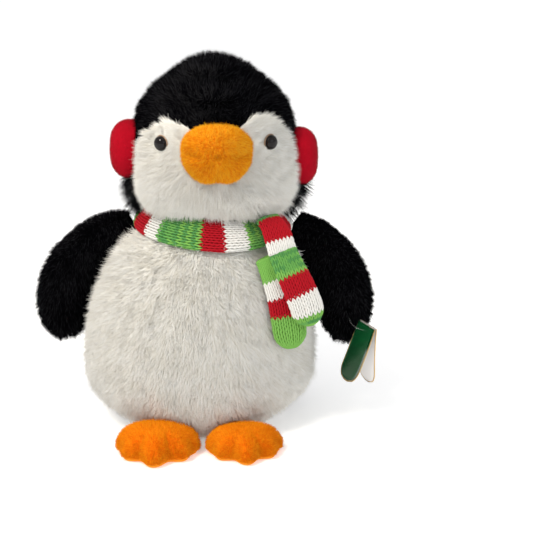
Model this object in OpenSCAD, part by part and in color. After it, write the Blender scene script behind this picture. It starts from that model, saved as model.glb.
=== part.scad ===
// Plush penguin standing on a weighted base, with earmuffs, a striped knit scarf and a hang tag.
// Left and right are as seen from the front. +Z is up, the face looks along -Y, and the origin is
// the centre of the flat base.

/* [Torso] */
// Height of the torso's neck opening above the base
torso_h = 146; // [142:1:150]
// Half width of the belly at its widest
belly_r = 73; // [70:1:75]
// Belly depth in front of the centre, as a share of the half width
belly_depth = 0.88; // [0.84:0.01:0.92]
// Back depth behind the centre, as a share of the half width
back_depth = 0.76; // [0.7:0.01:0.84]
// How far the torso leans to the right on its way up to the neck
neck_x = 12; // [10:0.5:13]
// Thickness of the plush cloth with the foot of its pile
cloth_t = 2.4; // [2:0.1:2.6]

/* [Head] */
// Height of the middle of the head
head_z = 197; // [195:1:200]
// Half width of the head
head_rx = 48; // [46:0.5:49]
// Half depth of the head
head_ry = 45; // [43:0.5:47]
// Height of the head above its middle
head_rz = 46.5; // [45:0.5:48]
// Depth of the head below its middle
head_low = 49; // [47:0.5:49.5]
// Angle that the face is turned to the right
head_yaw = 4; // [0:1:8]
// How far the cheeks swell out
cheek_out = 5; // [2:0.5:5.5]
// How much squarer the lower half of the head is than a ball
jowl = 1.4; // [0.8:0.1:1.6]
// Radius of the ball of the neck
neck_r = 27; // [25:0.5:27]

/* [Face] */
// Diameter of an eye's dome
eye_d = 12; // [10:0.5:13]
// Angle of each eye to the side of the beak
eye_side = 44; // [40:1:46]
// Elevation of the eyes, seen from the middle of the head
eye_rise = -2; // [-6:0.5:0]
// Length that the beak stands out of the face
beak_l = 23; // [20:1:29]
// Radius of an earmuff
muff_r = 19; // [17:0.5:20]
// Thickness of an earmuff
muff_t = 17; // [14:0.5:18]

/* [Wings] */
// Thickness of a wing at its middle
wing_t = 19; // [16:1:20]
// Angle that the right wing hangs closer to the body than the left
right_wing_lean = 5; // [3:1:7]

/* [Feet] */
// Half width of a foot between its outer toes
foot_w = 24; // [20:0.5:26]
// Height of a foot at the instep
foot_h = 14; // [12:0.5:16]
// Depth of the notches between the toes
toe_notch = 2.3; // [2:0.2:3.6]

/* [Scarf] */
// Width of the knit tube when it is pressed flat
scarf_w = 22; // [19:0.5:22.5]
// Thickness of the knit tube
scarf_t = 7.2; // [6:0.2:7.4]

/* [Tag] */
// Width of a leaf of the hang tag
tag_w = 25; // [20:1:26]
// Height of a leaf of the hang tag
tag_h = 41; // [34:1:42]

/* [Hidden] */
$fn = 48;

white_pile = [0.95, 0.94, 0.90];
black_pile = [0.06, 0.06, 0.07];
orange_pile = [0.98, 0.58, 0.08];
red_fleece = [0.72, 0.06, 0.12];
fibre = [0.93, 0.93, 0.91];

seam_gap = 0.3;          // space between neighbouring pieces of cloth
fill_gap = 1;            // space between a cloth and the fibre inside it
head_fill_gap = 2.3;     // the same in the head, whose panels are cut coarser
pellet_r = 19;           // radius of the flat part of the pellet bag
pellet_edge = 8;         // radius of its round edge
seat_t = 2;              // thickness of the base and of the soles
neck_p = [neck_x, 0, torso_h + 2];
head_c = [neck_x, 0, head_z];
mouth = -64;             // elevation of the head's neck opening, seen from its middle
face_side = 92;          // angle at which the white face ends beside the head

// Torso outline from the base to the neck: half width and height, as shares of the two sizes
torso_line = [[0.74, 0.014], [0.9, 0.07], [0.975, 0.17], [1, 0.3], [0.985, 0.45],
              [0.93, 0.6], [0.82, 0.755], [0.66, 0.885], [0.49, 0.967], [0.4, 1]];
// Elevation of the top edge of the white face, every 11.5 degrees from the beak to the side
face_line = [-2, 3, 9.5, 11.5, 9.5, 3, -11, -38, -57];
// Left wing from the shoulder to the tip: outwards, upwards, half width
wing_line = [[4, 4, 4], [-4, 0, 9], [-17, -9, 14], [-30, -23, 16.5], [-39, -39, 17.5],
             [-43, -56, 16.5], [-43.5, -69, 12.5], [-42.5, -77, 4]];
wing_left_p = [-50, 7, 132];
wing_right_p = [63, 7, 132];
wing_left_root = 0.01;   // share of the wing's line at which its cloth begins under the scarf
wing_right_root = 0.12;
// Each foot: place, share of the full size, angle that its toes turn out
foot_left = [[-23.5, -70.8, 0], 1.08, -2];
foot_right = [[32, -69.6, 0], 0.98, 6];
foot_b = 18;             // half length of a foot in front of its middle, without its toes
foot_heel = 12.5;          // half length of a foot behind its middle
middle_toe = 5;          // how far the middle toe stands ahead of the others
toe_step = 50;           // angle from one toe to the next
// Beak: half width and half height of its rim, elevation of its middle, how far it bulges past the rim
beak_w = 24;
beak_rise = 15.5;
beak_low = -5;
beak_swell = 0.44;
// Band round the neck: its middle to the sides, front and back, its drop, slope and lean
band_side = 45;
band_front = 43.6;
band_back = 39.5;
band_drop = 9.5;
band_slope = 6.5;
band_lean = 48;
band_gather = 0.34;      // share of its width that it loses where the right wing begins
// Middle line of each scarf tail from the crossing to its round end
tail_upper_line = [[57, -49.5, 126], [61, -53.5, 118], [66.5, -57, 106.5], [71.5, -57.5, 94.5],
                   [75, -55.5, 81]];
tail_lower_line = [[46, -47, 123], [51.5, -48.5, 111], [57.5, -50, 97], [60.5, -50.5, 81], [63, -50, 63.5]];
cross_line = [[47, -37, 146], [51.5, -43.5, 141.5], [54.5, -47.5, 134.5], [56.2, -49.3, 128.3]];
tail_w = 19.5;           // width of the two tails
cross_w = 15.5;          // width of the scarf where its ends cross
tag_p = [115.3, -10.5, 66.5];
tag_turn = 22;           // angle that the tag's face is turned towards the front
tag_open = 22;           // angle between the leaves at rest
leaf_t = 0.5;
loop_r = 8.8;
loop_rise = 25;          // slope of the loop from the tag to the wing
label_p = [0, back_depth * belly_r * 0.99, 24];

// ---------------------------------------------------------------- curves and closed surfaces

// Eased step from 0 at a to 1 at b
function ease(a, b, x) = let (t = min(1, max(0, (x - a) / (b - a)))) t * t * (3 - 2 * t);

// Bell curve of half breadth s about 0
function bell(x, s) = exp(-x * x / (s * s));

function mix(a, b, t) = a + (b - a) * t;

// Smooth curve through evenly spaced stations, t from 0 to 1
function along(list, t) =
    let (n = len(list) - 1, x = min(max(t, 0), 1) * n, i = min(floor(x), n - 1), f = x - i,
         a = list[max(i - 1, 0)], b = list[i], c = list[i + 1], d = list[min(i + 2, n)])
    0.5 * (2 * b + (c - a) * f + (2 * a - 5 * b + 4 * c - d) * f * f
           + (3 * b - a - 3 * c + d) * f * f * f);

function turned(p, a) = [p[0] * cos(a) - p[1] * sin(a), p[0] * sin(a) + p[1] * cos(a), p[2]];

function quad(a, b, c, d) = [[a, c, b], [a, d, c]];

// Skin between two surfaces, each a function of u and v from 0 to 1, closed along its four edges
module skin(outer, inner, nu, nv) {
    row = nu + 1;
    k = row * (nv + 1);
    grid = function(f) [for (j = [0:nv]) for (i = [0:nu]) f(i / nu, j / nv)];
    cells = [for (j = [0:nv - 1]) for (i = [0:nu - 1]) j * row + i];
    low = [for (i = [0:nu - 1]) i];
    side = [for (j = [0:nv - 1]) j * row];
    polyhedron(concat(grid(outer), grid(inner)), concat(
        [for (c = cells) for (f = quad(c, c + 1, c + row + 1, c + row)) f],
        [for (c = cells) for (f = quad(c + k, c + k + row, c + k + row + 1, c + k + 1)) f],
        [for (i = low) for (f = quad(i, i + k, i + k + 1, i + 1)) f],
        [for (i = low) for (f = quad(i + nv * row, i + nv * row + 1, i + nv * row + k + 1,
                                     i + nv * row + k)) f],
        [for (j = side) for (f = quad(j, j + row, j + row + k, j + k)) f],
        [for (j = side) for (f = quad(j + nu, j + nu + k, j + nu + row + k, j + nu + row)) f]));
}

// Closed body around a line: u goes round, v goes from one end point to the other
module blob(shape, nu, nv) {
    last = nu * (nv - 1) + 1;
    ring = function(j, i) 1 + (j - 1) * nu + i % nu;
    polyhedron(
        concat([shape(0, 0)], [for (j = [1:nv - 1]) for (i = [0:nu - 1]) shape(i / nu, j / nv)],
               [shape(0, 1)]),
        concat([for (i = [0:nu - 1]) [0, ring(1, i), ring(1, i + 1)]],
               [for (j = [1:nv - 2]) for (i = [0:nu - 1])
                   for (f = quad(ring(j, i), ring(j, i + 1), ring(j + 1, i + 1), ring(j + 1, i))) f],
               [for (i = [0:nu - 1]) [last, ring(nv - 1, i + 1), ring(nv - 1, i)]]));
}

// Closed loop with a closed section: u goes round the section, v round the loop
module loop(shape, nu, nv) {
    at = function(j, i) (j % nv) * nu + i % nu;
    polyhedron([for (j = [0:nv - 1]) for (i = [0:nu - 1]) shape(i / nu, j / nv)],
               [for (j = [0:nv - 1]) for (i = [0:nu - 1])
                   for (f = quad(at(j, i), at(j, i + 1), at(j + 1, i + 1), at(j + 1, i))) f]);
}

// ---------------------------------------------------------------- torso

// Point of the torso: a degrees round from the front, t from the base to the neck
function torso_pt(a, t, inset) =
    let (s = along(torso_line, t), w = s[0] * belly_r - inset, z = s[1] * torso_h,
         k = cos(a) > 0 ? belly_depth : back_depth, tuck = 1 - 0.26 * ease(34, 0, z))
    [neck_x * pow(z / torso_h, 3.5) + tuck * w * sin(a), -w * k * cos(a), z];

// Angle of the seam between the belly and the back
function seam(t) = 96 - 26 * ease(0.5, 1, t);

module belly_panel() {
    at = function(inset) function(u, v) let (a = seam(v) - seam_gap) torso_pt(mix(-a, a, u), v, inset);
    color(white_pile) skin(at(0), at(cloth_t), 20, 14);
}

module back_panel(side) {
    at = function(inset) function(u, v)
        let (a = seam(v) + seam_gap, b = 180 - seam_gap)
        torso_pt(side > 0 ? mix(a, b, u) : mix(-b, -a, u), v, inset);
    color(black_pile) skin(at(0), at(cloth_t), 9, 14);
}

module base_panel() {
    r = torso_line[0][0] * belly_r - 1;
    color(black_pile) cylinder(h = seat_t - 0.2, r = r * back_depth, $fn = 96);
}

// Round, flat-bottomed bag that lies on the base, its section grown by out
module pellet_shape(out) {
    middle = seat_t + 1 + pellet_edge;
    rotate_extrude() {
        translate([0, middle - pellet_edge - out]) square([pellet_r, 2 * (pellet_edge + out)]);
        translate([pellet_r, middle]) circle(r = pellet_edge + out);
    }
}

module pellet_bag() {
    color([0.85, 0.84, 0.8]) pellet_shape(0);
}

module torso_stuffing() {
    low = seat_t + 0.5;
    high = torso_h - 0.6;
    at = function(u, v)
        v == 0 ? [0, 0, low]
        : v == 1 ? [neck_x, 0, high]
        : let (p = torso_pt(360 * u, (v - 0.05) / 0.9, cloth_t + fill_gap))
          [p[0], p[1], min(max(p[2], low), high)];
    color(fibre) difference() {
        blob(at, 24, 12);
        pellet_shape(0.6);
        cylinder(h = seat_t + 1 + pellet_edge, r = pellet_r + pellet_edge + 0.6);
    }
}

module care_label() {
    color([0.96, 0.96, 0.96]) translate(label_p) rotate([-62, 0, 0])
        translate([-7, 0.3, -0.3]) cube([14, 17, 0.6]);
}

// ---------------------------------------------------------------- neck

module above_torso() {
    intersection() {
        children();
        translate([-50, -50, torso_h + 0.5]) cube([120, 100, 60]);
    }
}

module neck_sleeve() {
    color(black_pile) above_torso()
        translate(neck_p) difference() {
            sphere(r = neck_r);
            sphere(r = neck_r - 1.8);
            translate([0, 0, 10]) cylinder(h = 20, r = 30);
        }
}

module neck_stuffing() {
    color(fibre) above_torso() translate(neck_p) sphere(r = neck_r - 2.2);
}

// ---------------------------------------------------------------- head

// Point of the head: th degrees round from the face, ph degrees up from its middle
function head_pt(th, ph, out) =
    let (n = 2.1 + jowl * ease(5, -45, ph) - 0.4 * ease(8, 45, ph),
         c = pow(abs(cos(ph)), 2 / n), s = sign(ph) * pow(abs(sin(ph)), 2 / n),
         r = out + cheek_out * (bell(th - 62, 36) + bell(th + 62, 36)) * bell(ph + 32, 24))
    head_c + turned([(head_rx + r) * c * sin(th), -(head_ry + r) * c * cos(th),
                     ((ph > 0 ? head_rz : head_low) + r) * s], head_yaw);

// Elevation of the white face's top edge, which stands a little higher over the right eye
function face_top(th) =
    along(face_line, abs(th) / face_side) + (th > 0 ? 4 : 0) * bell(abs(th) - 34, 20);

module face_panel(side) {
    at = function(out) function(u, v)
        let (th = side > 0 ? mix(seam_gap, face_side, u) : mix(-face_side, -seam_gap, u))
        head_pt(th, mix(mouth, face_top(th), v), out);
    color(white_pile) difference() {
        skin(at(0), at(-cloth_t), 10, 9);
        eye_place(side) translate([0, 0, -6]) cylinder(h = 12, r = 2.2);
    }
}

module hood_panel(side) {
    at = function(out) function(u, v)
        let (w = side > 0 ? u : 1 - u,
             a = w < 0.5 ? mix(seam_gap, face_side, 2 * w) : mix(face_side, 180 - seam_gap, 2 * w - 1),
             low = w <= 0.5 ? face_top(side * a) + 0.6 : mouth)
        head_pt(side * a, mix(low, 89.6, v), out);
    color(black_pile) skin(at(0), at(-cloth_t), 18, 13);
}

// Puts its children on the cheek where an eye sits, +Z pointing out of the head
module eye_place(side) {
    p = head_pt(side * eye_side, eye_rise, 0);
    translate(p) rotate([0, 0, head_yaw + side * eye_side]) rotate([90 + 4, 0, 0]) children();
}

module eye(side) {
    color([0.05, 0.03, 0.03]) eye_place(side) {
        translate([0, 0, 0.5]) intersection() {
            translate([0, 0, -2]) sphere(r = eye_d / 2 + 0.6);
            cylinder(h = 10, r = eye_d / 2);
        }
        translate([0, 0, -9]) cylinder(h = 10, r = 1.9);
    }
}

module eye_washer(side) {
    color([0.9, 0.9, 0.88]) eye_place(side) translate([0, 0, -cloth_t - 2.7]) difference() {
        cylinder(h = 1.2, r = 5.6);
        translate([0, 0, -1]) cylinder(h = 4, r = 2);
    }
}

module head_stuffing() {
    at = function(u, v)
        v == 0 ? head_c + [0, 0, -head_low * 0.9]
        : head_pt(360 * u - 180, mix(mouth, 90, max(0, v - 0.05) / 0.95), -cloth_t - head_fill_gap);
    color(fibre) difference() {
        blob(at, 24, 12);
        translate(neck_p) sphere(r = neck_r + 0.8);
        for (side = [-1, 1]) eye_place(side) translate([0, 0, -10]) cylinder(h = 20, r = 6.6);
    }
}

// ---------------------------------------------------------------- beak

// Dome on the face: rho from the middle to the rim, psi round it, grown out by its height
function beak_pt(rho, psi, share, height) =
    let (d = sqrt(max(0, 1 - rho * rho)),
         r = share * rho * (1 + beak_swell * d * (1 - d)),
         base = head_pt(beak_w * r * cos(psi), beak_low + beak_rise * r * sin(psi), 0.5))
    base + turned([0, -height * d, -0.5 * d], head_yaw);

module beak_half(first) {
    at = function(share, height) function(u, v)
        beak_pt(mix(0.04, 1, v), mix(first + 0.8, first + 179.2, 1 - u), share, height);
    color(orange_pile) skin(at(1, beak_l), at(0.84, beak_l - 2.2), 14, 8);
}

module beak_stuffing() {
    rim = 0.6;           // share of the steps that run over the dome, the rest cross its base
    at = function(u, v)
        v < rim ? beak_pt(v / rim, 360 * u, 0.76, beak_l - 3.4)
        : beak_pt((1 - v) / (1 - rim), 360 * u, 0.76, 0);
    color(fibre) blob(at, 20, 10);
}

// ---------------------------------------------------------------- earmuffs

module muff_place(side) {
    translate([head_c[0] + side * (head_rx * cos(head_yaw) + 2.4), side * head_rx * sin(head_yaw),
               head_z - 14 - side * 3])
        rotate([0, side * 90, 0]) children();
}

// Half section of a padded disc with a rounded outer edge
module muff_section(r, t, round) {
    square([r - round, t]);
    square([r, t - round]);
    intersection() {
        translate([r - round, t - round]) circle(r = round);
        square([r, t]);
    }
}

module earmuff(side) {
    color(red_fleece) muff_place(side) difference() {
        rotate_extrude() muff_section(muff_r, muff_t, 11);
        translate([0, 0, -1]) rotate_extrude() muff_section(muff_r - 2, muff_t - 1, 9);
    }
}

module earmuff_stuffing(side) {
    color(fibre) muff_place(side) rotate_extrude() muff_section(muff_r - 2.6, muff_t - 2.8, 8);
}

// ---------------------------------------------------------------- wings

// Point of the left wing about its shoulder: psi round the section, t from shoulder to tip
function wing_pt(psi, t, inset) =
    let (s = along(wing_line, t), e = 0.01,
         d = along(wing_line, min(1, t + e)) - along(wing_line, max(0, t - e)),
         m = norm([d[0], d[1]]), w = max(s[2] - inset, 0.3),
         thick = max(wing_t / 2 * pow(sin(180 * mix(0.1, 0.94, t)), 0.6) - inset, 0.3))
    [s[0] + w * cos(psi) * d[1] / m, thick * sin(psi), s[1] - w * cos(psi) * d[0] / m];

module wing_place(side) {
    if (side < 0) translate(wing_left_p) children();
    else translate(wing_right_p) rotate([0, right_wing_lean, 0]) mirror([1, 0, 0]) children();
}

module wing_panel(side, first) {
    root = side > 0 ? wing_right_root : wing_left_root;
    at = function(inset) function(u, v)
        wing_pt(mix(first + 0.8, first + 179.2, 1 - u), mix(root, 0.99, v), inset);
    color(black_pile) wing_place(side) skin(at(0), at(cloth_t - 0.4), 10, 11);
}

module wing_stuffing(side) {
    root = (side > 0 ? wing_right_root : wing_left_root) + 0.09;
    at = function(u, v) wing_pt(-360 * u, mix(root, 0.9, v), v == 0 || v == 1 ? 30 : cloth_t + 0.6);
    color(fibre) wing_place(side) blob(at, 14, 8);
}

// ---------------------------------------------------------------- feet

// Distance from the middle of a foot to its rim: an oval with three toes in front (psi 0)
function foot_rim(psi) =
    let (q = abs(psi) > 180 ? 360 - abs(psi) : abs(psi))
    1 / sqrt(pow(sin(q) / foot_w, 2) + pow(cos(q) / (q < 90 ? foot_b : foot_heel), 2))
    + middle_toe * bell(q, 30)
    + toe_notch * cos(q * 360 / toe_step) * (1 - ease(1.3 * toe_step, 1.7 * toe_step, q));

function foot_pt(psi, up, inset) =
    let (r = (foot_rim(psi) - inset) * pow(cos(up), 0.7))
    [r * sin(psi), -r * cos(psi) + 1.5 * sin(up), seat_t + 0.3 + (foot_h - inset) * pow(sin(up), 0.8)];

module foot_place(foot) {
    translate(foot[0]) rotate([0, 0, foot[2]]) scale(foot[1]) children();
}

module foot_top(foot) {
    nu = 40;
    nv = 7;
    k = nu * nv;
    dome = function(inset)
        [for (j = [0:nv - 1]) for (i = [0:nu - 1]) foot_pt(360 * i / nu, 90 * j / nv, inset)];
    at = function(j, i) j * nu + i % nu;
    steps = [for (j = [0:nv - 2]) for (i = [0:nu - 1]) [j, i]];
    color(orange_pile) foot_place(foot)
        polyhedron(concat(dome(0), dome(2), [foot_pt(0, 90, 0), foot_pt(0, 90, 2)]), concat(
            [for (c = steps) let (j = c[0], i = c[1])
                for (f = quad(at(j, i), at(j, i + 1), at(j + 1, i + 1), at(j + 1, i))) f],
            [for (c = steps) let (j = c[0], i = c[1])
                for (f = quad(at(j, i) + k, at(j + 1, i) + k, at(j + 1, i + 1) + k, at(j, i + 1) + k)) f],
            [for (i = [0:nu - 1]) [2 * k, at(nv - 1, i + 1), at(nv - 1, i)]],
            [for (i = [0:nu - 1]) [2 * k + 1, at(nv - 1, i) + k, at(nv - 1, i + 1) + k]],
            [for (i = [0:nu - 1])
                for (f = quad(at(0, i), at(0, i) + k, at(0, i + 1) + k, at(0, i + 1))) f]));
}

module foot_sole(foot) {
    steps = 80;
    color(orange_pile) foot_place(foot) linear_extrude(seat_t)
        polygon([for (i = [0:steps - 1])
            let (psi = 360 * i / steps, r = foot_rim(psi) - 0.8) [r * sin(psi), -r * cos(psi)]]);
}

module foot_stuffing(foot) {
    steps = 40;
    at = function(u, v)
        v == 0 ? [0, 0, seat_t + 0.4]
        : foot_pt(-360 * u, mix(0, 90, max(0, v - 0.12) / 0.88), 3) + [0, 0, 0.1];
    color(fibre) foot_place(foot) blob(at, steps, 7);
}

// ---------------------------------------------------------------- scarf

// How much the band is gathered, from 0 to 1 above the right wing, a degrees round from the front
function gather(a) = bell((a + 100) % 360 - 180, 48);

// Middle of the band round the neck
function band_mid(a) =
    [neck_x - 1 + band_side * sin(a) + 1.2 * gather(a),
     -(cos(a) > 0 ? band_front : band_back) * cos(a),
     torso_h - band_drop - band_slope * sin(a) + 7 * gather(a)];

module scarf_band() {
    at = function(u, v)
        let (a = 360 * v, m = band_mid(a), w = scarf_w * (1 - band_gather * gather(a)),
             h = w / 2 * cos(-360 * u), t = scarf_t / 2 * sin(-360 * u),
             out = t * sin(band_lean) + h * cos(band_lean), up = t * cos(band_lean) - h * sin(band_lean))
        m + [out * sin(a), -out * cos(a), up];
    color([0.35, 0.68, 0.3]) loop(at, 14, 36);
}

// Flattened tube along a line of points, its width turned aside degrees from the X axis
module knit_tube(line, aside, w, t) {
    at = function(u, v)
        let (p = along(line, v), e = 0.01, d = along(line, min(1, v + e)) - along(line, max(0, v - e)),
             dir = d / norm(d), across = [cos(aside), sin(aside), 0],
             wide = across - dir * (across * dir), side = wide / norm(wide), face = cross(dir, side),
             round = pow(max(0, sin(180 * mix(0.06, 0.97, v))), 0.3) * (v == 0 || v == 1 ? 0 : 1))
        p + side * (w / 2 * round * cos(-360 * u)) + face * (t / 2 * round * sin(-360 * u));
    blob(at, 14, 16);
}

module scarf_cross() {
    color([0.72, 0.06, 0.12]) knit_tube(cross_line, 20, cross_w, scarf_t * 0.7);
}

module scarf_tail_upper() {
    color([0.35, 0.68, 0.3]) knit_tube(tail_upper_line, 14, tail_w, scarf_t);
}

module scarf_tail_lower() {
    color([0.35, 0.68, 0.3]) knit_tube(tail_lower_line, 14, tail_w, scarf_t);
}

module scarf_tack() {
    m = band_mid(180);
    color([0.2, 0.45, 0.2]) for (i = [-1:1])
        translate(m + [3 * i, scarf_t * 0.5 + 4.4, 1.6]) rotate([0, 90, 0])
            cylinder(h = 2.4, r = 0.5, center = true);
}

// ---------------------------------------------------------------- hang tag

module tag_leaf(hole) {
    round = 10;
    rotate([90, 0, 90]) linear_extrude(leaf_t) difference() {
        union() {
            translate([-tag_w / 2, -tag_h + round]) square([tag_w, tag_h - round]);
            translate([-tag_w / 2 + round, -tag_h]) square([tag_w - 2 * round, tag_h]);
            for (x = [-1, 1]) translate([x * (tag_w / 2 - round), -tag_h + round]) circle(r = round);
        }
        translate([0, -4]) circle(r = hole);
    }
}

module tag_place() {
    translate(tag_p) rotate([0, 0, tag_turn]) children();
}

module tag_back() {
    color([0.95, 0.95, 0.93]) tag_place() translate([0.2, 0, 0]) tag_leaf(1.8);
}

module tag_cover() {
    color([0.05, 0.3, 0.14]) tag_place() translate([-0.2, 0, 0]) rotate([0, tag_open, 0])
        translate([-leaf_t - 0.3, 0, -0.6]) tag_leaf(4.4);
}

// Loop of string from the tag's hole to the wing, open where it enters the cloth
module tag_fastener() {
    open = 110;
    color([0.9, 0.9, 0.9]) tag_place() translate([0, 0, -4]) rotate([loop_rise, 0, 0])
        translate([0, loop_r, 0]) rotate([0, 0, 90 + open / 2])
            rotate_extrude(angle = 360 - open) translate([loop_r, 0]) circle(r = 0.5);
}

belly_panel();
back_panel(-1);  // back_panel_left
back_panel(1);  // back_panel_right
base_panel();
torso_stuffing();
pellet_bag();
care_label();
neck_sleeve();
neck_stuffing();
face_panel(-1);  // face_panel_left
face_panel(1);  // face_panel_right
hood_panel(-1);  // hood_panel_left
hood_panel(1);  // hood_panel_right
head_stuffing();
beak_half(0);  // beak_upper
beak_half(180);  // beak_lower
beak_stuffing();
eye(-1);  // eye_left
eye(1);  // eye_right
eye_washer(-1);  // eye_washer_left
eye_washer(1);  // eye_washer_right
earmuff(-1);  // earmuff_left
earmuff(1);  // earmuff_right
earmuff_stuffing(-1);  // earmuff_stuffing_left
earmuff_stuffing(1);  // earmuff_stuffing_right
wing_panel(-1, 180);  // wing_left_front
wing_panel(-1, 0);  // wing_left_back
wing_stuffing(-1);  // wing_left_stuffing
wing_panel(1, 180);  // wing_right_front
wing_panel(1, 0);  // wing_right_back
wing_stuffing(1);  // wing_right_stuffing
foot_top(foot_left);  // foot_left_top
foot_sole(foot_left);  // foot_left_sole
foot_stuffing(foot_left);  // foot_left_stuffing
foot_top(foot_right);  // foot_right_top
foot_sole(foot_right);  // foot_right_sole
foot_stuffing(foot_right);  // foot_right_stuffing
scarf_band();
scarf_cross();
scarf_tail_upper();
scarf_tail_lower();
scarf_tack();
tag_fastener();
tag_cover();
tag_back();
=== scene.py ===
import bpy
import numpy as np
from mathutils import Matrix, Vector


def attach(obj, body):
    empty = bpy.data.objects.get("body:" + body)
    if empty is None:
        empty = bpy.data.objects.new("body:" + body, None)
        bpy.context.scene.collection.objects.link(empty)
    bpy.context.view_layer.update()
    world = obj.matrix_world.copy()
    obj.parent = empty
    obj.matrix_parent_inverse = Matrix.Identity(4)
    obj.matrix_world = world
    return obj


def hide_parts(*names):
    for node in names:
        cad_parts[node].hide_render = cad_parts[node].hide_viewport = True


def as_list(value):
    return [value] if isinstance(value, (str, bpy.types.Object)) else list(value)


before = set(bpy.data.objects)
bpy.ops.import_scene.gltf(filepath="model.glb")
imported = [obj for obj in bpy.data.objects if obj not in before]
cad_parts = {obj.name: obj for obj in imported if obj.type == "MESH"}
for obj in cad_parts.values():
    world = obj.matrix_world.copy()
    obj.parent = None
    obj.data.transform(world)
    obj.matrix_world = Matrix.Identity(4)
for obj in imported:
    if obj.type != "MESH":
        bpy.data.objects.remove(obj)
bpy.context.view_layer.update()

# ------------------------------------------------------------------------------------------------
# Torso: a bag of pile cloth, long cream-white pile over the belly and black pile over the back,
# sewn along two side seams and one back seam, stuffed with fibre over a bag of pellets.

TORSO_H, BELLY_R, BELLY_DEPTH, BACK_DEPTH, NECK_X, CLOTH, GAP = 146, 73, 0.88, 0.76, 12, 2.4, 0.3
TORSO_LINE = [[0.74, 0.014], [0.9, 0.07], [0.975, 0.17], [1, 0.3], [0.985, 0.45],
              [0.93, 0.6], [0.82, 0.755], [0.66, 0.885], [0.49, 0.967], [0.4, 1]]


def through(stations, t):
    """Smooth curve through evenly spaced stations: the cubic whose slope at each is that between its
    neighbours."""
    stations = np.asarray(stations, float)
    last = len(stations) - 1
    x = np.clip(t, 0, 1) * last
    i = np.minimum(x.astype(int), last - 1)
    f = (x - i)[..., None]
    a, b, c, d = (stations[np.clip(i + k, 0, last)] for k in (-1, 0, 1, 2))
    return 0.5 * (2 * b + (c - a) * f + (2 * a - 5 * b + 4 * c - d) * f**2 + (3 * b - a - 3 * c + d) * f**3)


def eased(a, b, x):
    """Step from 0 at a to 1 at b, flat at both ends."""
    t = np.clip((x - a) / (b - a), 0, 1)
    return t * t * (3 - 2 * t)


def bell(x, s):
    """Bell curve: 1 at 0, falling as exp of minus the square of x over s."""
    return np.exp(-((x / s) ** 2))


def mix(a, b, t):
    return a + (b - a) * t


def sin(degrees):
    return np.sin(np.radians(degrees))


def cos(degrees):
    return np.cos(np.radians(degrees))


def unit(v):
    return v / np.maximum(np.linalg.norm(v, axis=-1, keepdims=True), 1e-9)


def xyz(x, y, z):
    return np.stack(np.broadcast_arrays(x, y, z), -1).astype(float)


def torso_pt(a, t, inset):
    """Oval of the outline's half width at its height, a degrees round from the front, tucked in at the
    base and leaning to the right as it rises. inset (mm) is how far it lies inside the cloth."""
    share, height = np.moveaxis(through(TORSO_LINE, t), -1, 0)
    w = share * BELLY_R - inset
    depth = np.where(cos(a) > 0, BELLY_DEPTH, BACK_DEPTH)
    tuck = 1 - 0.26 * eased(34, 0, height * TORSO_H)
    lean = NECK_X * np.clip(height, 0, 1) ** 3.5
    return xyz(lean + tuck * w * sin(a), -w * depth * cos(a), height * TORSO_H)


def seam(t):
    """Angle of the side seam: beside the belly below, further forward at the neck."""
    return 96 - 26 * eased(0.5, 1, t)


def grid(nu, nv):
    return np.meshgrid(np.linspace(0, 1, nu + 1), np.linspace(0, 1, nv + 1))


def shell(outer, inner, nu, nv):
    """Closed skin: the outer surface, the inner one turned round, and a wall along their common rim."""
    u, v = grid(nu, nv)
    points = np.concatenate([outer(u, v).reshape(-1, 3), inner(u, v).reshape(-1, 3)])
    at = np.arange((nu + 1) * (nv + 1)).reshape(nv + 1, nu + 1)
    sheet = np.stack([at[:-1, :-1], at[:-1, 1:], at[1:, 1:], at[1:, :-1]], -1).reshape(-1, 4)
    rim = np.concatenate([at[0], at[1:, -1], at[-1, -2::-1], at[-2:0:-1, 0]])
    wall = np.stack([rim, rim + at.size, np.roll(rim, -1) + at.size, np.roll(rim, -1)], -1)
    faces = np.concatenate([sheet, sheet[:, ::-1] + at.size, wall])
    return points, faces, np.zeros(len(faces), int)


def wander(p, size, seed):
    """Smooth random field of vectors: sine waves of about one wavelength, of the given size (mm), across
    many directions, added up."""
    rng = np.random.default_rng(seed)
    total = np.zeros_like(p)
    for _ in range(9):
        wave = unit(rng.normal(size=3)) * 2 * np.pi / (size * rng.uniform(0.7, 1.5))
        total += rng.normal(size=3) * np.sin(p @ wave + rng.uniform(0, 2 * np.pi))[..., None]
    return total * np.sqrt(2) / 3


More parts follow.
